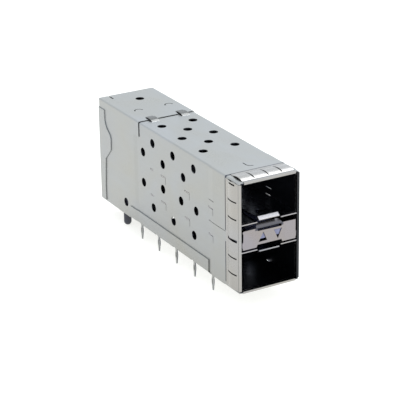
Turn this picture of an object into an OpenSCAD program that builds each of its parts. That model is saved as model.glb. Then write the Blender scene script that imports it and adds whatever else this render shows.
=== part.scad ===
// Stacked two-port cage for pluggable network modules, press-fit type,
// with its connector, contacts and light pipes.
// X runs across the mouth, Y runs back from the mouth, Z is up.
// Z = 0 is the plane of the board, Y = 0 is the front face.

/* [Cage] */
// Overall length from the mouth to the back plate
cage_len = 67.8; // [64:0.1:72]
// Height of the folded cage above the board
cage_h = 26.4; // [26:0.1:27]
// Outside width behind the mouth section
cage_w = 15.1; // [14.9:0.05:15.2]
// Outside width of the wider mouth section
mouth_w = 15.36; // [15.2:0.02:15.5]
// Thickness of the folded sheet
sheet = 0.25; // [0.2:0.05:0.3]
// Outside radius of the folds
fold_r = 0.4; // [0.3:0.05:0.5]
// How far the rear part stands out past the front part at the seam
rear_step = 0.15; // [0.1:0.01:0.2]
// Diameter of the vent holes
vent_d = 2.15; // [1.6:0.05:2.4]
// Spacing of the vent holes along the cage
vent_pitch = 9.75; // [9:0.05:10]

/* [Ports] */
// Top face of the upper port's floor
upper_floor = 16.5; // [16.3:0.1:16.8]
// Underside of the lower port's ceiling
lower_ceiling = 9.7; // [9.4:0.1:9.9]
// Width of the latch tongues
tongue_w = 5.25; // [4.5:0.05:5.5]
// How far a latch tongue's tip stands into its port
tongue_rise = 0.95; // [0.5:0.05:1.1]

/* [Board pins] */
// Number of press-fit pins along each side
pin_count = 5; // [3:1:5]
// Spacing of the pins along the cage
pin_pitch = 8.61; // [8:0.01:8.65]
// Distance of the first pin from the front face
pin_first = 12.1; // [12:0.1:12.5]
// How far the pins reach under the board plane
pin_len = 3.7; // [3:0.1:4.2]

/* [Grounding strips] */
// Thickness of the spring strips
strip = 0.12; // [0.1:0.01:0.14]
// How far the fingers bulge
bulge = 0.34; // [0.2:0.02:0.5]
// Width of the slits between fingers
slit = 0.32; // [0.2:0.02:0.4]

/* [Connector] */
// Contacts in each row
contacts = 10; // [6:1:10]
// Contact spacing
contact_pitch = 0.8; // [0.8:0.1:0.8]
// Diameter of the locating pegs
peg_d = 1.9; // [1.5:0.1:2.0]
// How far the pegs reach under the board plane
peg_len = 4.0; // [2.5:0.1:4.2]

/* [Hidden] */
$fn = 48;
e = 0.01;
wr = cage_w / 2;                 // half width behind the mouth
wf = mouth_w / 2;                // half width of the mouth section
ws = wr + rear_step;             // half width behind the seam
hs = cage_h + rear_step;         // height behind the seam
s0 = 46.3; s1 = 46.6;            // the seam
slit_z = 22.8;                   // the seam's slits end here on the side walls
wrap = 0.1;                      // room between the sheet and a strip's turned-in edge
y_in = strip;                    // front edge of the folded cage
y_wall = cage_len - 0.8;         // rear edge of the side walls
y_back = cage_len - 0.5;         // inner face of the back plate
j0 = 11.6; j1 = 13.6;              // the walls step in between these
lift = 0.12;                     // the mouth's floor stands this far off the board plane
zc_up = 21.1; zc_lo = 5.1;       // card slot centres
ears = [[11.7, 13.7], [22.6, 24.7], [33.9, 36.0], [39.8, 41.2]];
bumps = [[-4.75, -2.7], [3.5, 5.55]]; // the two bridges over the seam
up_b = upper_floor - sheet;      // underside of the upper deck
lo_t = lower_ceiling + sheet;    // top of the lower deck
pipe_w = 2.0; pipe_h = 1.75; pipe_z = 12.2; pipe_x = 5.85;
win_l = -1.65; win_r = 2.2;      // middles of the two windows
peg_x = 6.0;
wafer_t = 0.38; lead_t = 0.2; lead_w = 0.34;

// a box from corner to corner
module box(a, b) { translate(a) cube([b[0] - a[0], b[1] - a[1], b[2] - a[2]]); }
// a profile drawn in Y and Z, spread along X from x0 to x1
module along_x(x0, x1) { translate([x0, 0, 0]) rotate([90, 0, 90]) linear_extrude(x1 - x0) children(); }
// a profile drawn in X and Z, spread along Y from y0 to y1
module along_y(y0, y1) { translate([0, y1, 0]) rotate([90, 0, 0]) linear_extrude(y1 - y0) children(); }
// a quarter tube along Y: the fold between a side wall and the top
module fold(w, h, s, y0, y1) {
  intersection() {
    translate([s * (w - fold_r), y1, h - fold_r]) rotate([90, 0, 0]) difference() {
      cylinder(r = fold_r, h = y1 - y0);
      translate([0, 0, -1]) cylinder(r = fold_r - sheet, h = y1 - y0 + 2);
    }
    box([s > 0 ? w - fold_r : -w, y0, h - fold_r], [s > 0 ? w : -(w - fold_r), y1, h]);
  }
}
// a slit in the shape of part of a ring, cut down through the top
module ring_slit(x, y, r, a0, a1) {
  translate([x, y, cage_h - 1]) intersection() {
    difference() { cylinder(r = r + 0.13, h = 2); translate([0, 0, -1]) cylinder(r = r - 0.13, h = 4); }
    linear_extrude(2) polygon(concat([[0, 0]], [for (i = [0:4]) let (a = a0 + (a1 - a0) * i / 4) [3 * r * cos(a), 3 * r * sin(a)]]));
  }
}
// one press-fit pin with its eye, in the plane of a side wall
module pin(x0, y) {
  n = pin_len;
  difference() {
    along_x(x0, x0 + sheet) polygon([[y - 0.62, 0.6], [y - 0.62, 0], [y - 0.34, 0], [y - 0.34, -0.45], [y - 0.5, -1.15], [y - 0.5, -1.75],
      [y - 0.3, -2.6], [y - 0.13, -n], [y + 0.13, -n], [y + 0.3, -2.6], [y + 0.5, -1.75], [y + 0.5, -1.15],
      [y + 0.34, -0.45], [y + 0.34, 0], [y + 0.62, 0], [y + 0.62, 0.6]]);
    box([x0 - 1, y - 0.14, -2.1], [x0 + 1, y + 0.14, -0.8]);
  }
}

module side_wall(s) {
  mirror([s < 0 ? 1 : 0, 0, 0]) {
    translate([0, 0, 0.46]) linear_extrude(slit_z - 0.46)
      polygon([[wf, y_in], [wf, j0], [wr, j1], [wr, 47.6], [ws, 49.2], [ws, y_wall], [ws - sheet, y_wall], [ws - sheet, 49.2],
        [wr - sheet, 47.6], [wr - sheet, j1], [wf - sheet, j0], [wf - sheet, y_in]]);
    translate([0, 0, slit_z - e]) linear_extrude(cage_h - fold_r - slit_z + e)
      polygon([[wf, y_in], [wf, j0], [wr, j1], [wr, s0], [wr - sheet, s0], [wr - sheet, j1], [wf - sheet, j0], [wf - sheet, y_in]]);
    box([ws - sheet, s1, slit_z - e], [ws, y_wall, hs - fold_r]);
    // the mouth's walls reach the floor, and behind the floor plate the wall comes down to the board
    translate([0, 0, sheet]) linear_extrude(0.25)
      polygon([[wf, y_in], [wf, j0], [wr, j1], [wr, 13.65], [wr - sheet, 13.65], [wr - sheet, j1], [wf - sheet, j0], [wf - sheet, y_in]]);
    box([ws - sheet, 52.2, 0], [ws, y_wall, 0.5]);
    // above the rear cover's flange: a rounded ear on the left, a plain end on the right
    if (s < 0) intersection() {
      union() {
        box([ws - sheet, y_wall - e, 24.45], [ws, cage_len - 0.7, hs - fold_r]);
        box([5.3, cage_len - sheet, 24.45], [ws - 0.7, cage_len, hs - fold_r]);
        translate([ws - 0.7, cage_len - 0.7, 24.45]) difference() {
          cylinder(r = 0.7, h = hs - fold_r - 24.45);
          translate([0, 0, -1]) cylinder(r = 0.7 - sheet, h = 5);
          box([-2, -2, -1], [2, 0, 5]);
          box([-2, -2, -1], [0, 2, 5]);
        }
      }
      box([0, 0, 0], [ws, cage_len, cage_h]);
    }
    if (s > 0) box([ws - sheet, y_wall - e, 24.45], [ws, cage_len - sheet - 0.03, hs - fold_r]);
    for (i = [0:pin_count - 1]) {
      y = pin_first + i * pin_pitch;
      x0 = y < j0 + 1 ? wf - sheet - 0.04 : wr - sheet;
      pin(x0, y);
    }
  }
}

// an arched bridge over the seam, open at both ends
module bump(x0, x1) {
  h = cage_h;
  along_x(x0, x1) polygon([[44.85, h - sheet], [44.9, h], [45.6, h + 0.3], [46.5, h + 0.46], [47.5, h + 0.42], [48.3, hs], [48.5, hs - sheet],
    [48.1, hs - sheet], [47.4, h + 0.17], [46.5, h + 0.21], [45.75, h + 0.07], [45.25, h - sheet]]);
}

module cage_shell() {
  color([0.74, 0.75, 0.74]) {
    difference() {
      union() {
        for (s = [-1, 1]) {
          side_wall(s);
          fold(wf, cage_h, s, y_in, j0 + 1);
          fold(wr, cage_h, s, j0 + 1, s0);
          fold(ws, hs, s, s1, cage_len - 0.4);
        }
        box([-(wf - fold_r), y_in, cage_h - sheet], [wf - fold_r, j0 + 1, cage_h]);
        box([-(wr - fold_r), j0 + 1, cage_h - sheet], [wr - fold_r, s0, cage_h]);
        box([-(ws - fold_r), s1, hs - sheet], [ws - fold_r, cage_len - 0.4, hs]);
        // the top's rear edge turns down over the back plate
        translate([-4.8, cage_len - 0.4, hs - 0.4]) rotate([0, 90, 0]) difference() {
          cylinder(r = 0.4, h = ws + 4.4);
          translate([0, 0, -1]) cylinder(r = 0.15, h = 20);
          box([-1, -1, -1], [1, 0, 20]);
          box([0, -1, -1], [1, 1, 20]);
        }
        box([-4.8, cage_len - sheet, hs - 3.4], [ws - 0.4, cage_len, hs - 0.4 + e]);
      }
      // openings under the bridges
      for (b = bumps) box([b[0] - 0.18, 45.2, cage_h - 1], [b[1] + 0.18, 48.15, cage_h + 1]);
      // vents in both side walls
      for (k = [0:2]) {
        for (p = [[20.4, 23.15], [25.28, 19.45], [20.5, 6.8]])
          translate([-9, p[0] + k * vent_pitch, p[1]]) rotate([0, 90, 0]) cylinder(d = vent_d, h = 18);
      }
      for (p = [[19.35, 13.2], [26.4, 13.25], [35.1, 13.2], [44.7, 11.75], [54.1, 3.4]])
        translate([-9, p[0], p[1]]) rotate([0, 90, 0]) cylinder(d = vent_d, h = 18);
      // vents in the top
      for (k = [0:2], x = [-4.2, 4.2]) translate([x, 21.7 + k * vent_pitch, cage_h - 1]) cylinder(d = vent_d, h = 2);
      for (k = [0:1]) translate([0, 26.5 + k * vent_pitch, cage_h - 1]) cylinder(d = vent_d, h = 2);
      translate([0.7, 61.5, cage_h - 1]) cylinder(d = vent_d, h = 2);
      // half-round and curved slits in the top
      ring_slit(-3.7, 53.7, 1.0, 0, 180);
      ring_slit(4.6, 53.65, 1.0, 0, 180);
      ring_slit(0.75, 9.25, 1.15, 180, 275);
      box([-0.53, 9.2, cage_h - 1], [-0.27, 10.6, cage_h + 1]);
      // relief slot at the left rear corner of the top
      box([-5.22, 64.8, cage_h - 1], [-4.8 + e, cage_len + 1, cage_h + 1]);
      for (s = [-1, 1]) {
        // slots for the decks' ears, each with a short upright slit at its front end
        for (q = ears, z = [up_b, lower_ceiling])
          box([s > 0 ? 6.9 : -8, q[0] - 0.05, z - 0.03], [s > 0 ? 8 : -6.9, q[1] + 0.05, z + sheet + 0.1]);
        for (k = [0:2], z = [up_b, lower_ceiling])
          box([s > 0 ? 6.9 : -8, ears[k][0] - 0.15, z - 1.5], [s > 0 ? 8 : -6.9, ears[k][0] - 0.03, z + sheet + 0.1]);
        box([s > 0 ? 7 : -8, 11.2, 18.2], [s > 0 ? 8 : -7, 13.6, 18.33]);
        // slot for the window plate's ear, and the long slit behind it
        box([s > 0 ? 7 : -8, 2.9, 12.0], [s > 0 ? 8 : -7, 4.6, 13.0]);
        box([s > 0 ? 7 : -8, 6.05, 13.08], [s > 0 ? 8 : -7, 13.7, 13.2]);
        // shallow groove behind the grounding strips
        for (z = [[0.95, 10.75], [13.4, 25.4]]) box([s > 0 ? wf - 0.16 : -8, 5.74, z[0]], [s > 0 ? 8 : -wf + 0.16, 6.06, z[1]]);
      }
      box([-6.6, 5.74, cage_h - 0.16], [7.2, 6.06, cage_h + 1]);
      // the mouth's walls stand on the raised floor
      box([-8, 0, 0], [8, 6.6 + e, sheet + lift]);
    }
    for (b = bumps) bump(b[0], b[1]);
  }
}

module rear_cover() {
  color([0.72, 0.73, 0.72]) {
    box([-(ws + sheet - 0.5), y_back, 0.3], [ws + sheet - 0.5, y_back + sheet, 24.3]);
    for (s = [0, 1]) mirror([s, 0, 0]) {
      along_x(ws, ws + sheet) polygon([[y_back - 0.25, 24.3], [64.31, 24.3], [64.29, 21.7], [63.83, 20.65], [63.34, 19.91], [61.74, 18.66],
        [61.34, 18.01], [61.19, 17.41], [61.28, 14.72], [64.24, 11.62], [64.83, 4.24], [64.83, 0.3], [y_back - 0.25, 0.3]]);
      translate([ws + sheet - 0.5, y_back + sheet - 0.5, 0.3]) difference() {
        cylinder(r = 0.5, h = 24);
        translate([0, 0, -1]) cylinder(r = 0.25, h = 26);
        box([-2, -2, -1], [2, 0, 26]);
        box([-2, -2, -1], [0, 2, 26]);
      }
    }
  }
}

module bottom_plate() {
  color([0.71, 0.72, 0.7]) difference() {
    union() {
      // floor on the board
      box([-(wf), 6.6, 0], [wf, 13.8, sheet]);
      box([-(wr + sheet - 0.45), 13.8 - e, 0], [wr + sheet - 0.45, 45.5, sheet]);
      // raised floor of the mouth
      box([-wf, y_in, lift], [wf, 6.6 + e, sheet + lift]);
      // side rails behind the floor, and the flanges outside the walls
      for (s = [0, 1]) mirror([s, 0, 0]) {
        box([6.6, 45.5 - e, 0], [wr + sheet - 0.45, 47.4, sheet]);
        translate([0, 0, 0.45]) linear_extrude(2.85) polygon([[wr, 13.8], [wr + sheet, 13.8], [wr + sheet, 47.5], [ws + sheet, 49.1],
          [ws + sheet, 51.6], [ws, 51.6], [ws, 49.1], [wr, 47.5]]);
        translate([wr + sheet - 0.45, 13.8, 0.45]) rotate([-90, 0, 0]) intersection() {
          difference() { cylinder(r = 0.45, h = 33.6); translate([0, 0, -1]) cylinder(r = 0.2, h = 40); }
          box([0, 0, 0], [1, 1, 33.6]);
        }
      }
    }
    // clear of the pins and their shoulders
    for (i = [0:pin_count - 1], s = [-1, 1]) {
      y = pin_first + i * pin_pitch;
      box([s > 0 ? 7 : -8, y - (i == 0 ? 0.75 : 1.4), -1], [s > 0 ? 8 : -7, y + (i == 0 ? 0.75 : 1.4), i == 0 ? 1 : 0.45]);
    }
  }
}

// a deck with its latch tongue; the plate lies from z = 0 to z = sheet and the tongue leans up
module deck() {
  difference() {
    union() {
      box([-(wf - sheet - wrap - strip - 0.02), y_in, 0], [wf - sheet - wrap - strip - 0.02, 1.15, sheet]);
      box([-(wf - sheet - 0.02), 1.15 - e, 0], [wf - sheet - 0.02, j0, sheet]);
      box([-(wr - sheet - 0.02), j0 - e, 0], [wr - sheet - 0.02, 44.9, sheet]);
    }
    box([-3.05, -1, -1], [3.05, 13, 1]);
    // relief holes at the tongue's root
    for (x = [-2.89, 2.89]) translate([x, 13, -1]) cylinder(d = 0.6, h = 2);
  }
  difference() {
    along_x(-tongue_w / 2, tongue_w / 2) polygon([[13.05, 0], [13.05, sheet], [0.8, sheet + tongue_rise], [0.02, sheet + tongue_rise - 0.55],
      [0.14, sheet + tongue_rise - 0.78], [0.86, tongue_rise - 0.02]]);
    translate([0, 0, -1]) linear_extrude(4) polygon([[-1.7, 3.2], [1.7, 3.2], [0.35, 5.1], [0, 5.25], [-0.35, 5.1]]);
  }
}
// ears in the wall slots, their ends flush with the walls
module deck_ears() {
  for (s = [0, 1], q = ears) mirror([s, 0, 0]) box([6.9, q[0], 0], [wr - 0.03, q[1], sheet]);
}
module upper_deck() {
  color([0.7, 0.7, 0.7]) translate([0, 0, up_b]) { deck(); deck_ears(); }
}
module lower_deck() {
  color([0.7, 0.7, 0.7]) {
    translate([0, 0, lo_t]) mirror([0, 0, 1]) deck();
    translate([0, 0, lower_ceiling]) deck_ears();
  }
}

module window_plate() {
  xi = wf - sheet - wrap - strip - 0.02;
  color([0.68, 0.67, 0.68]) difference() {
    union() {
      // wings and the narrower middle
      along_y(0.03, 0.28) polygon([[-6.6, 14.95], [-3.15, 15.0], [-2.95, 14.3], [3.15, 14.25], [3.4, 15.05], [6.85, 15.0], [6.85, 12.3],
        [6.95, 12.2], [6.95, 11.0], [6.85, 10.9], [6.85, 10.45], [3.4, 10.45], [3.15, 11.05], [-3.05, 11.05], [-3.35, 10.45], [-6.85, 10.45],
        [-6.85, 10.9], [-6.95, 11.0], [-6.95, 12.2], [-6.75, 12.3], [-6.7, 14.2], [-6.85, 14.5], [-6.85, 14.8]]);
      // sloping bridge over the middle, narrower at its top
      intersection() {
        along_x(-3.45, 3.45) polygon([[0.03, 14.95], [0.2, 14.68], [1.25, 15.62], [1.02, 15.84]]);
        linear_extrude(20) polygon([[-3.3, 0], [3.4, 0], [3.4, 0.25], [2.55, 1.3], [-2.5, 1.3], [-3.3, 0.25]]);
      }
      for (s = [-1, 1]) box([s > 0 ? 3.15 : -3.6, 0.03, 14.55], [s > 0 ? 3.6 : -3.15, 0.28, 15.0]);
      // arms folded back along the side walls, each with an ear
      for (s = [0, 1]) mirror([s, 0, 0]) {
        box([6.9, 0.28 - e, 11.05], [xi, 0.53, 12.15]);
        box([xi - sheet, 0.5, 11.05], [xi, 9, 12.15]);
        box([xi - sheet, 2.5, 12.15 - e], [xi, 5, 12.9]);
        box([xi - sheet, 3.0, 12.1], [wf + 0.05, 4.5, 12.9]);
      }
    }
    // triangular windows
    along_y(-1, 1) polygon([[win_l - 1.15, 11.65], [win_l + 1.05, 11.7], [win_l + 0.1, 13.85]]);
    along_y(-1, 1) polygon([[win_r + 1.05, 13.75], [win_r - 1.0, 13.75], [win_r, 11.45]]);
  }
}

// a spring strip in its own frame: runs along X, band in the plane z = 0..strip, front at y = 0,
// fingers bulge up, inner band turned in under a sheet of the given thickness
module strip_body(x0, x1, slits, wide, gap) {
  s = bulge;
  c = 4.0;
  R = c * c / (8 * s) + s / 2;
  difference() {
    union() {
      box([x0, 0, 0], [x1, 0.9, strip]);
      box([x0, 4.8, 0], [x1, 5.72, strip]);
      intersection() {
        translate([x0, 0.85 + c / 2, s - R + strip]) rotate([0, 90, 0]) difference() {
          cylinder(r = R, h = x1 - x0, $fn = 128);
          translate([0, 0, -1]) cylinder(r = R - strip, h = x1 - x0 + 2, $fn = 128);
        }
        box([x0, 0.85, 0], [x1, 0.85 + c, 5]);
      }
      // round the front edge and back inside
      box([x0, 0, -(sheet + gap + strip)], [x1, strip, e]);
      box([x0, 0, -(sheet + gap + strip)], [x1, 1.0, -(sheet + gap)]);
    }
    for (p = slits) box([p - slit / 2, 1.05, -0.1], [p + slit / 2, 4.75, 5]);
    for (p = wide) box([p[0], p[2], -0.1], [p[1], p[3], 5]);
  }
}
module emi_strip_top() {
  color([0.82, 0.83, 0.83]) translate([0, 0, cage_h]) strip_body(-6.45, 6.85, [-3.2, 0.4, 3.9], [], wrap);
}
module emi_strip_bottom() {
  color([0.82, 0.83, 0.83]) translate([0, 0, lift]) mirror([0, 0, 1]) strip_body(-6.85, 6.85, [-3.6, 0, 3.6], [], 0);
}
module side_strip() {
  // x of the strip becomes height
  translate([wf, 0, 0]) rotate([0, 90, 0]) mirror([1, 0, 0])
    strip_body(0.62, 26.0, [4.25, 8.2, 17.5, 21.6], [[12.1, 12.75, 0.9, 4.75], [25.35, 25.75, 1.6, 3.9]], wrap);
}
module emi_strip_right() { color([0.82, 0.83, 0.83]) side_strip(); }
module emi_strip_left() { color([0.82, 0.83, 0.83]) mirror([1, 0, 0]) side_strip(); }

// a light pipe: back from its window between the ports, out to the side past the connector and down to the board
module light_pipe(s, x) {
  h = pipe_h;
  xo = s * pipe_x;
  w = pipe_w / 2;
  translate([0, 0, pipe_z]) linear_extrude(h)
    polygon([[x - w, 0.5], [x + w, 0.5], [x + w, 40.5], [xo + w, 48.5], [xo + w, 64.6], [xo - w, 64.6], [xo - w, 48.9], [x - w, 41]]);
  translate([xo - w, 64.6, pipe_z]) rotate([0, 90, 0]) intersection() {
    translate([0, 0, 0]) cylinder(r = h, h = pipe_w);
    box([-h, 0, 0], [0, h, pipe_w]);
  }
  box([xo - w, 64.6, 1.0], [xo + w, 64.6 + h, pipe_z + e]);
}
module light_pipe_up() {
  color([0.62, 0.63, 0.75]) { light_pipe(-1, win_l); along_y(0.2, 0.55) polygon([[win_l - 0.75, 12.25], [win_l + 0.72, 12.25], [win_l + 0.1, 13.6]]); }
}
module light_pipe_down() {
  color([0.62, 0.63, 0.75]) { light_pipe(1, win_r); along_y(0.2, 0.55) polygon([[win_r + 0.9, 13.65], [win_r - 0.85, 13.65], [win_r - 0.35, 12.35], [win_r + 0.35, 12.35]]); }
}
module light_pipe_holder() {
  color([0.25, 0.25, 0.27]) difference() {
    box([-7.2, 17.0, lo_t + 0.03], [7.2, 19.2, up_b - 0.03]);
    for (x = [win_l, win_r]) box([x - pipe_w / 2 - 0.02, 16, pipe_z - 0.02], [x + pipe_w / 2 + 0.02, 20, pipe_z + pipe_h + 0.02]);
    for (s = [-1, 1]) box([s > 0 ? 4.4 : -8, 16, lo_t - 1], [s > 0 ? 8 : -4.4, 20, 12.0]);
  }
}

module connector_housing() {
  color([0.09, 0.09, 0.1]) {
    difference() {
      union() {
        box([-7.1, 49.5, 0.35], [7.1, 62.4, 25.6]);
        for (z = [zc_up, zc_lo]) box([-5.3, 45.2, z - 2.35], [5.3, 49.6, z + 2.35]);
      }
      // room for the wafers, open below and behind
      box([-4.25, 52, -1], [4.25, 63, 24.3]);
      for (z = [zc_up, zc_lo]) {
        box([-4.65, 44, z - 0.62], [4.65, 49.2, z + 0.62]);
        box([-4.15, 46.1, z - 1.75], [4.15, 52.1, z + 1.75]);
      }
      // side channels for the light pipes
      for (s = [-1, 1]) box([s > 0 ? 4.7 : -8, 49, pipe_z - 0.05], [s > 0 ? 8 : -4.7, 63, pipe_z + pipe_h + 0.05]);
    }
    for (s = [-1, 1]) translate([s * peg_x, 57, 0]) {
      // a small foot on the board, then the peg
      cylinder(d = 2.5, h = 0.4);
      translate([0, 0, -(peg_len - peg_d / 2)]) cylinder(d = peg_d, h = peg_len - peg_d / 2 + e);
      translate([0, 0, -(peg_len - peg_d / 2)]) sphere(d = peg_d);
    }
  }
}

// one contact: spring beam in the card slot, run back through the wafer, tail down through the board
// up = 1 for the row over the card, -1 for the row under it
module lead(x, z, up, yd) {
  a = lead_w / 2;
  zz = z + up * 1.2;
  translate([x - lead_t / 2, 0, 0]) {
    along_x(0, lead_t) polygon([[46.5, z + up * 0.95], [46.9, z + up * 0.55], [47.3, z + up * 0.55], [52.3, zz - up * a],
      [52.3, zz + up * a], [51.7, zz + up * a], [47.2, z + up * 0.85], [46.95, z + up * 0.85], [46.6, z + up * 1.15]]);
    box([0, 52.3 - e, zz - a], [lead_t, yd + a, zz + a]);
    box([0, yd - a, -0.4], [lead_t, yd + a, zz + a]);
    along_x(0, lead_t) polygon([[yd - a, -0.35], [yd - 0.26, -0.9], [yd - 0.26, -1.3], [yd - 0.1, -2.4], [yd + 0.1, -2.4], [yd + 0.26, -1.3], [yd + 0.26, -0.9], [yd + a, -0.35]]);
  }
}
function row_x(i, half) = (i - (contacts - 1) / 2) * contact_pitch + (half ? 0.2 : -0.2);
module row(half, z, up, yd) { for (i = [0:contacts - 1]) lead(row_x(i, half), z, up, yd); }
module upper_outer_contacts() { color([0.8, 0.66, 0.35]) row(false, zc_up, 1, 60.6); }
module upper_inner_contacts() { color([0.8, 0.66, 0.35]) row(true, zc_up, -1, 58.5); }
module lower_inner_contacts() { color([0.8, 0.66, 0.35]) row(true, zc_lo, 1, 56.2); }
module lower_outer_contacts() { color([0.8, 0.66, 0.35]) row(false, zc_lo, -1, 53.9); }

module wafers(half) {
  difference() {
    for (i = [0:contacts - 1]) {
      x = row_x(i, half) - wafer_t / 2;
      along_x(x, x + wafer_t) polygon([[52.4, 1.15], [61.6, 1.15], [61.6, 23.4], [60.9, 24.1], [52.4, 24.1]]);
    }
    for (i = [0:contacts - 1]) {
      x = row_x(i, half) - lead_t / 2;
      for (q = half ? [[zc_up, -1, 58.5], [zc_lo, 1, 56.2]] : [[zc_up, 1, 60.6], [zc_lo, -1, 53.9]]) {
        zz = q[0] + q[1] * 1.2;
        box([x, 52, zz - lead_w / 2], [x + lead_t, q[2] + lead_w / 2, zz + lead_w / 2]);
        box([x, q[2] - lead_w / 2, 0], [x + lead_t, q[2] + lead_w / 2, zz + lead_w / 2]);
      }
    }
  }
}
module wafers_a() { color([0.12, 0.12, 0.13]) wafers(false); }
module wafers_b() { color([0.16, 0.16, 0.17]) wafers(true); }

module tail_organizer() {
  color([0.1, 0.1, 0.11]) difference() {
    box([-4.2, 52.6, 0.35], [4.2, 61.8, 1.05]);
    for (i = [0:contacts - 1]) {
      for (q = [[false, 60.6], [true, 58.5], [true, 56.2], [false, 53.9]]) {
        x = row_x(i, q[0]);
        box([x - lead_t / 2 - 0.03, q[1] - lead_w / 2 - 0.03, 0], [x + lead_t / 2 + 0.03, q[1] + lead_w / 2 + 0.03, 2]);
      }
    }
  }
}

cage_shell();
rear_cover();
bottom_plate();
upper_deck();
lower_deck();
window_plate();
emi_strip_top();
emi_strip_left();
emi_strip_right();
emi_strip_bottom();
light_pipe_up();
light_pipe_down();
light_pipe_holder();
connector_housing();
wafers_a();
wafers_b();
upper_outer_contacts();
upper_inner_contacts();
lower_inner_contacts();
lower_outer_contacts();
tail_organizer();
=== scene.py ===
import bpy, bmesh, math
from mathutils import Vector, Matrix


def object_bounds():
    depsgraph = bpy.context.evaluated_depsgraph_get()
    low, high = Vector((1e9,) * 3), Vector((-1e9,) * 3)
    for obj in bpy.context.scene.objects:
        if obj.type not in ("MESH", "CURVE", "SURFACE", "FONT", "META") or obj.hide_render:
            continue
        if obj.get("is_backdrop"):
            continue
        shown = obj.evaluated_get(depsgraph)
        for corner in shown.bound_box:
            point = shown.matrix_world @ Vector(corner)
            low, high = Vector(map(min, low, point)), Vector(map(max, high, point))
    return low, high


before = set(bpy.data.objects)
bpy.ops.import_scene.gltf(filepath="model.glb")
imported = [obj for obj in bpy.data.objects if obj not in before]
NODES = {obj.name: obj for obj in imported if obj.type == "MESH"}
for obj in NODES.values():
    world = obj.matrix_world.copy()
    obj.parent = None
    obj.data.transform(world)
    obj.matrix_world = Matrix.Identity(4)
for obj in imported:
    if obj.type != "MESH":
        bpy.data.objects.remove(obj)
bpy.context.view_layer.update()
MM = 0.001
scene = bpy.context.scene


# ---------------------------------------------------------------- camera
def make_camera():
    cam_data = bpy.data.cameras.new("camera")
    cam_data.sensor_width = 36.0
    cam_data.lens = 146.95
    cam_data.clip_start, cam_data.clip_end = 0.01, 20.0
    cam = bpy.data.objects.new("camera", cam_data)
    scene.collection.objects.link(cam)
    right = Vector((0.8648730, -0.5018514, -0.0118278))
    down = Vector((-0.2021635, -0.3266415, -0.9232742))
    forward = Vector((0.4594830, 0.8009061, -0.3839594))
    m = Matrix.Identity(4)
    for i in range(3):
        m[i][0], m[i][1], m[i][2] = right[i], -down[i], -forward[i]
    m.translation = Vector((-0.184122, -0.294702, 0.163265))
    cam.matrix_world = m
    scene.camera = cam
    return cam


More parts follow.
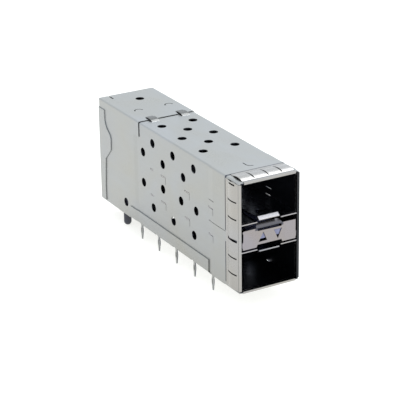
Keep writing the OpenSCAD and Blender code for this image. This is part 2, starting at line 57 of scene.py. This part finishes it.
# ---------------------------------------------------------------- node helpers
class Mat:
    """A small helper to wire a procedural Principled material."""

    def __init__(self, name):
        self.m = bpy.data.materials.new(name)
        self.m.use_nodes = True
        self.t = self.m.node_tree
        self.t.nodes.clear()
        self.out = self.t.nodes.new("ShaderNodeOutputMaterial")
        self.p = self.t.nodes.new("ShaderNodeBsdfPrincipled")
        self.t.links.new(self.p.outputs[0], self.out.inputs[0])
        self.co = self.t.nodes.new("ShaderNodeTexCoord").outputs["Object"]

    def link(self, a, b):
        self.t.links.new(a, b)

    def set(self, **kw):
        for k, v in kw.items():
            self.p.inputs[k.replace("_", " ")].default_value = v

    def mapped(self, scale, rot=(0, 0, 0), loc=(0, 0, 0)):
        n = self.t.nodes.new("ShaderNodeMapping")
        n.inputs["Scale"].default_value = scale
        n.inputs["Rotation"].default_value = rot
        n.inputs["Location"].default_value = loc
        self.link(self.co, n.inputs["Vector"])
        return n.outputs[0]

    def noise(self, vec, scale=1.0, detail=3.0, rough=0.5, dist=0.0):
        n = self.t.nodes.new("ShaderNodeTexNoise")
        n.inputs["Scale"].default_value = scale
        n.inputs["Detail"].default_value = detail
        n.inputs["Roughness"].default_value = rough
        n.inputs["Distortion"].default_value = dist
        self.link(vec, n.inputs["Vector"])
        return n.outputs["Fac"]

    def ramp(self, fac, stops):
        n = self.t.nodes.new("ShaderNodeValToRGB")
        while len(n.color_ramp.elements) < len(stops):
            n.color_ramp.elements.new(0.5)
        for el, (pos, col) in zip(n.color_ramp.elements, stops):
            el.position = pos
            el.color = (*col, 1.0) if not isinstance(col, (int, float)) else (col, col, col, 1.0)
        self.link(fac, n.inputs[0])
        return n.outputs[0]

    def rng(self, fac, a0, a1, b0, b1):
        n = self.t.nodes.new("ShaderNodeMapRange")
        n.inputs["From Min"].default_value = a0
        n.inputs["From Max"].default_value = a1
        n.inputs["To Min"].default_value = b0
        n.inputs["To Max"].default_value = b1
        self.link(fac, n.inputs["Value"])
        return n.outputs[0]

    def mix(self, fac, a, b, mode="MIX"):
        n = self.t.nodes.new("ShaderNodeMix")
        n.data_type = "RGBA"
        n.blend_type = mode
        if isinstance(fac, (int, float)):
            n.inputs[0].default_value = fac
        else:
            self.link(fac, n.inputs[0])
        for s, v in ((6, a), (7, b)):
            if isinstance(v, tuple):
                n.inputs[s].default_value = (*v, 1.0)
            else:
                self.link(v, n.inputs[s])
        return n.outputs[2]

    def math(self, op, a, b=None):
        n = self.t.nodes.new("ShaderNodeMath")
        n.operation = op
        for i, v in enumerate((a, b)):
            if v is None:
                continue
            if isinstance(v, (int, float)):
                n.inputs[i].default_value = v
            else:
                self.link(v, n.inputs[i])
        return n.outputs[0]

    def axis(self, i):
        n = self.t.nodes.new("ShaderNodeSeparateXYZ")
        self.link(self.co, n.inputs[0])
        return n.outputs[i]

    def normal_axis(self, i):
        g = self.t.nodes.new("ShaderNodeTexCoord")
        n = self.t.nodes.new("ShaderNodeSeparateXYZ")
        self.link(g.outputs["Normal"], n.inputs[0])
        return n.outputs[i]

    def band(self, sock, lo, hi, soft=0.00002):
        """1 between lo and hi of a coordinate, 0 outside"""
        a = self.rng(sock, lo - soft, lo + soft, 0.0, 1.0)
        b = self.rng(sock, hi - soft, hi + soft, 1.0, 0.0)
        return self.math("MULTIPLY", a, b)

    def all(self, *socks):
        last = socks[0]
        for q in socks[1:]:
            last = self.math("MULTIPLY", last, q)
        return last

    def any(self, *socks):
        last = socks[0]
        for q in socks[1:]:
            last = self.math("MAXIMUM", last, q)
        return last

    def bump(self, parts):
        """parts: (height socket, strength, distance in metres)"""
        last = None
        for h, s, d in parts:
            n = self.t.nodes.new("ShaderNodeBump")
            n.inputs["Strength"].default_value = s
            n.inputs["Distance"].default_value = d
            self.link(h, n.inputs["Height"])
            if last is not None:
                self.link(last, n.inputs["Normal"])
            last = n.outputs[0]
        self.link(last, self.p.inputs["Normal"])


def sheet_metal(name, tone, rough=0.3, grain=(700, 60, 700), warm=0.012, spread=0.045, shade=None, painted_shade_tone=(0.05, 0.054, 0.07), painted_light_mask=None, gain=1.0):
    """Plated strip: rolling streaks along one axis, cloudy patches, fine pits.

    shade: gives a 0 to 1 socket for the faces turned inwards and other places in shade, which get the dark colour:
    painted shade.
    the mask given with gain: a 0 to 1 socket for painted light, where the tone is gain times the sheet's; gain above 1
    paints a highlight, below 1 paints shade.
    """
    k = Mat(name)
    streak = k.noise(k.mapped(grain), 1.0, 4.0, 0.6)
    cloud = k.noise(k.mapped((95, 60, 95), loc=(3.1, 1.7, 5.2)), 1.0, 3.0, 0.55, 0.4)
    fine = k.noise(k.mapped((5200, 5200, 5200)), 1.0, 2.0, 0.5)
    lo = tuple(max(0.0, c * (1 - spread) + w * warm) for c, w in zip(tone, (1, 0.6, -1)))
    hi = tuple(min(1.0, c * (1 + spread) - w * warm) for c, w in zip(tone, (1, 0.3, -1)))
    base = k.ramp(cloud, [(0.3, lo), (0.7, hi)])
    dark = tuple(c * 0.93 for c in tone)
    base = k.mix(k.rng(streak, 0.35, 0.75, 0.0, 0.35), base, dark)
    # painted light: masked places get the sheet's tone times gain (painted highlight where gain is above 1, painted
    # shade where it is below)
    if painted_light_mask is not None:
        painted_light_tone = k.ramp(cloud, [(0.3, tuple(min(1.0, c * gain * 0.96) for c in tone)), (0.7, tuple(min(1.0, c * gain * 1.04) for c in tone))])
        base = k.mix(painted_light_mask(k), base, painted_light_tone)
    if shade is not None:
        # painted shade: masked places get the dark shade colour
        inner = k.ramp(cloud, [(0.3, painted_shade_tone), (0.7, tuple(c * 1.5 for c in painted_shade_tone))])
        base = k.mix(shade(k), base, inner)
    k.link(base, k.p.inputs["Base Color"])
    r = k.math("ADD", k.rng(cloud, 0.3, 0.7, rough - 0.03, rough + 0.04), k.rng(fine, 0.3, 0.7, -0.02, 0.03))
    k.link(r, k.p.inputs["Roughness"])
    k.set(Metallic=1.0)
    k.bump([(streak, 0.10, 0.00002), (fine, 0.12, 0.000008), (cloud, 0.25, 0.00006)])
    return k.m


def shell_shade(k):
    # painted shade: the inner faces, the collar groove and the shell under the spring strips are painted dark
    ax, y, z = k.math("ABSOLUTE", k.axis(0)), k.axis(1), k.axis(2)
    # the sum of the two keeps the outside of the folds clear
    inside = k.all(k.rng(ax, 0.00747, 0.00751, 1.0, 0.0), k.rng(z, 0.02631, 0.02635, 1.0, 0.0), k.rng(y, 0.06755, 0.0676, 1.0, 0.0),
                   k.rng(k.math("ADD", ax, z), 0.03350, 0.03354, 1.0, 0.0))
    groove = k.all(k.band(y, 0.0056, 0.00622), k.any(k.band(z, 0.00095, 0.01075), k.rng(z, 0.01338, 0.01342, 0.0, 1.0)))
    under = k.all(k.rng(y, 0.0046, 0.0050, 1.0, 0.0), k.any(
        k.all(k.rng(ax, 0.0073, 0.0074, 0.0, 1.0), k.rng(z, 0.0256, 0.0258, 1.0, 0.0)),
        k.all(k.rng(ax, 0.0063, 0.0065, 1.0, 0.0), k.rng(z, 0.0259, 0.0260, 0.0, 1.0))))
    return k.any(inside, groove, under)


def shell_bridge_painted_shade(k):
    """painted shade on the formed bridges over the seam, darkened to damp their highlight"""
    x, y, z = k.axis(0), k.axis(1), k.axis(2)
    over = k.any(k.band(x, -0.00478, -0.00267), k.band(x, 0.00347, 0.00558))
    return k.all(over, k.band(y, 0.0449, 0.0487), k.rng(z, 0.02640, 0.02645, 0.0, 1.0))


def cover_edge_painted_light(k):
    """painted light: the sheared edges of the cover's flanges are made lighter"""
    return k.all(k.band(k.math("ABSOLUTE", k.axis(0)), 0.00770, 0.00793), k.rng(k.axis(1), 0.0668, 0.0670, 1.0, 0.0))


def lip_painted_highlight(k):
    """painted highlight on the tip of the upper latch tongue"""
    return k.all(k.rng(k.axis(2), 0.01682, 0.01688, 0.0, 1.0), k.rng(k.axis(1), 0.00081, 0.00088, 1.0, 0.0))


def window_shade(k):
    """painted shade: the bridge over the middle is painted darker towards its foot, and the plate behind the front is
    painted dark
    """
    ax, y, z = k.math("ABSOLUTE", k.axis(0)), k.axis(1), k.axis(2)
    over = k.all(k.rng(ax, 0.0036, 0.0037, 1.0, 0.0), k.rng(z, 0.01440, 0.01450, 0.0, 1.0), k.rng(z, 0.0147, 0.0158, 0.9, 0.35))
    back = k.all(k.rng(y, 0.0013, 0.0016, 0.0, 1.0), k.rng(ax, 0.0073, 0.0074, 1.0, 0.0))
    return k.any(over, back)


def strip_shade(k):
    """the thin shadow where the band rolls over the front edge; the right-hand edge faces the dark mouth"""
    x, y = k.axis(0), k.axis(1)
    line = k.math("MULTIPLY", k.band(y, 0.00026, 0.00046), 0.6)
    right = k.all(k.rng(x, 0.0069, 0.0070, 0.0, 1.0), k.rng(y, 0.0003, 0.0004, 1.0, 0.0))
    return k.any(line, right)


def cover_shade(k):
    # painted shade on the inner face of the cover
    ax, y = k.math("ABSOLUTE", k.axis(0)), k.axis(1)
    return k.all(k.rng(y, 0.0674, 0.06745, 1.0, 0.0), k.rng(ax, 0.00775, 0.00778, 1.0, 0.0))


def floor_shade(k):
    # painted shade on the inner faces of the bottom plate
    ax, z = k.math("ABSOLUTE", k.axis(0)), k.axis(2)
    return k.all(k.rng(z, 0.0002, 0.00024, 0.0, 1.0), k.rng(ax, 0.00735, 0.0074, 1.0, 0.0))


def deck_shade(k):
    # painted shade on the decks behind their front edges, inside the ports
    ax, y = k.math("ABSOLUTE", k.axis(0)), k.axis(1)
    return k.all(k.rng(y, 0.00085, 0.0014, 0.0, 1.0), k.rng(ax, 0.0073, 0.0074, 1.0, 0.0))


def moulding(name, tone, rough=0.45, speck=0.02, flow=True):
    """Glass-filled moulded plastic: matte skin with flow marks and specks."""
    k = Mat(name)
    fine = k.noise(k.mapped((2600, 2600, 2600)), 1.0, 3.0, 0.6)
    marks = k.noise(k.mapped((240, 90, 160)), 1.0, 3.0, 0.55, 0.8)
    base = k.ramp(marks, [(0.3, tuple(c * 0.85 for c in tone)), (0.7, tuple(c * 1.2 + 0.004 for c in tone))])
    base = k.mix(k.rng(fine, 0.62, 0.75, 0.0, 0.35), base, tuple(c + speck for c in tone))
    k.link(base, k.p.inputs["Base Color"])
    k.link(k.rng(marks, 0.3, 0.7, rough - 0.05, rough + 0.08), k.p.inputs["Roughness"])
    k.bump([(fine, 0.2, 0.00001), (marks, 0.15, 0.00003)])
    return k.m


def contact_metal(name):
    """Gold flash on the beams, matte tin on the tails under the board line."""
    k = Mat(name)
    n = k.noise(k.mapped((900, 900, 900)), 1.0, 3.0, 0.5)
    gold = k.ramp(n, [(0.3, (0.78, 0.57, 0.22)), (0.7, (0.9, 0.70, 0.32))])
    tin = k.ramp(n, [(0.3, (0.5, 0.5, 0.49)), (0.7, (0.62, 0.62, 0.61))])
    m = k.rng(k.axis(1), 0.0512, 0.0518, 0.0, 1.0)
    k.link(k.mix(m, gold, tin), k.p.inputs["Base Color"])
    k.link(k.rng(n, 0.3, 0.7, 0.22, 0.34), k.p.inputs["Roughness"])
    k.set(Metallic=1.0)
    k.bump([(n, 0.15, 0.00001)])
    return k.m


def light_pipe_mat(name):
    k = Mat(name)
    n = k.noise(k.mapped((420, 420, 420)), 1.0, 3.0, 0.5)
    k.link(k.ramp(n, [(0.3, (0.20, 0.21, 0.36)), (0.7, (0.27, 0.28, 0.44))]), k.p.inputs["Base Color"])
    k.link(k.rng(n, 0.3, 0.7, 0.16, 0.28), k.p.inputs["Roughness"])
    k.set(Transmission_Weight=0.25, IOR=1.58)
    k.bump([(n, 0.1, 0.00003)])
    return k.m


def paint(node, mat):
    o = NODES[node]
    o.data.materials.clear()
    o.data.materials.append(mat)


def soften(node, width, segments=2, angle=35):
    """Merges the split corners and rounds the sheared edges of a piece."""
    o = NODES[node]
    w = o.modifiers.new("weld", "WELD")
    w.merge_threshold = 2e-7
    b = o.modifiers.new("edge", "BEVEL")
    b.width = width
    b.segments = segments
    b.limit_method = "ANGLE"
    b.angle_limit = math.radians(angle)
    b.use_clamp_overlap = True
    b.harden_normals = False
    for p in o.data.polygons:
        p.use_smooth = False


# ---------------------------------------------------------------- stage
def stage():
    me = bpy.data.meshes.new("floor")
    s, z = 3.0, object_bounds()[0].z
    me.from_pydata([(-s, -s, z), (s, -s, z), (s, s, z), (-s, s, z)], [], [(0, 1, 2, 3)])
    floor = bpy.data.objects.new("floor", me)
    scene.collection.objects.link(floor)
    k = Mat("floor")
    n = k.noise(k.mapped((8, 8, 8)), 1.0, 2.0, 0.5)
    k.link(k.ramp(n, [(0.3, (0.36, 0.36, 0.355)), (0.7, (0.38, 0.38, 0.375))]), k.p.inputs["Base Color"])
    k.set(Roughness=0.9, Specular_IOR_Level=0.1, Emission_Color=(1.0, 1.0, 0.965, 1.0), Emission_Strength=0.78)
    me.materials.append(k.m)
    floor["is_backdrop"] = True

    w = bpy.data.worlds.new("studio")
    scene.world = w
    w.use_nodes = True
    bg = w.node_tree.nodes["Background"]
    bg.inputs[0].default_value = (0.9, 0.952, 1.0, 1.0)
    bg.inputs[1].default_value = 1.286

    def area(name, loc, size, power, colour=(1, 1, 1)):
        d = bpy.data.lights.new(name, "AREA")
        d.energy, d.size, d.color = power, size, colour
        o = bpy.data.objects.new(name, d)
        o.location = loc
        o.rotation_mode = "QUATERNION"
        o.rotation_quaternion = (Vector(loc) - Vector((0, 0.034, 0.012))).to_track_quat("Z", "Y")
        scene.collection.objects.link(o)

    area("soft_top", (0.20, 0.16, 0.48), 0.30, 1.3, (0.97, 0.99, 1.0))
    scene.view_settings.view_transform = "Standard"
    scene.view_settings.look = "None"


make_camera()

SHEET_TONE = (0.36, 0.362, 0.357)
SHEET = sheet_metal("satin_plated_sheet", SHEET_TONE, 0.30, shade=shell_shade, painted_light_mask=shell_bridge_painted_shade, gain=0.36)
COVER = sheet_metal("satin_plated_cover", SHEET_TONE, 0.30, shade=cover_shade, painted_light_mask=cover_edge_painted_light, gain=1.9)
BASE = sheet_metal("satin_plated_floor", SHEET_TONE, 0.30, shade=floor_shade)
DECK = sheet_metal("deck_sheet", (0.37, 0.355, 0.36), 0.26, shade=deck_shade, painted_light_mask=lip_painted_highlight, gain=2.1)
WINDOW = sheet_metal("window_sheet", (0.302, 0.276, 0.282), 0.26, shade=window_shade)
SPRING = sheet_metal("spring_strip", (0.372, 0.358, 0.345), 0.24, grain=(700, 700, 60), spread=0.03, shade=strip_shade, painted_shade_tone=(0.03, 0.031, 0.034))
BLACK = moulding("black_moulding", (0.028, 0.029, 0.042), 0.42)
WAFER = moulding("wafer_moulding", (0.016, 0.016, 0.018), 0.5)
PIPE = light_pipe_mat("light_pipe_resin")
CONTACT = contact_metal("contact_plating")
HOLDER = moulding("holder_moulding", (0.03, 0.03, 0.035), 0.45)

paint("cage_shell", SHEET)
paint("rear_cover", COVER)
paint("bottom_plate", BASE)
for n in ("upper_deck", "lower_deck"):
    paint(n, DECK)
paint("window_plate", WINDOW)
for n in ("emi_strip_top", "emi_strip_left", "emi_strip_right", "emi_strip_bottom"):
    paint(n, SPRING)
for n in ("light_pipe_up", "light_pipe_down"):
    paint(n, PIPE)
for n in ("wafers_a", "wafers_b", "tail_organizer"):
    paint(n, WAFER)
for n in ("upper_outer_contacts", "upper_inner_contacts", "lower_inner_contacts", "lower_outer_contacts"):
    paint(n, CONTACT)
paint("connector_housing", BLACK)
paint("light_pipe_holder", HOLDER)

stage()
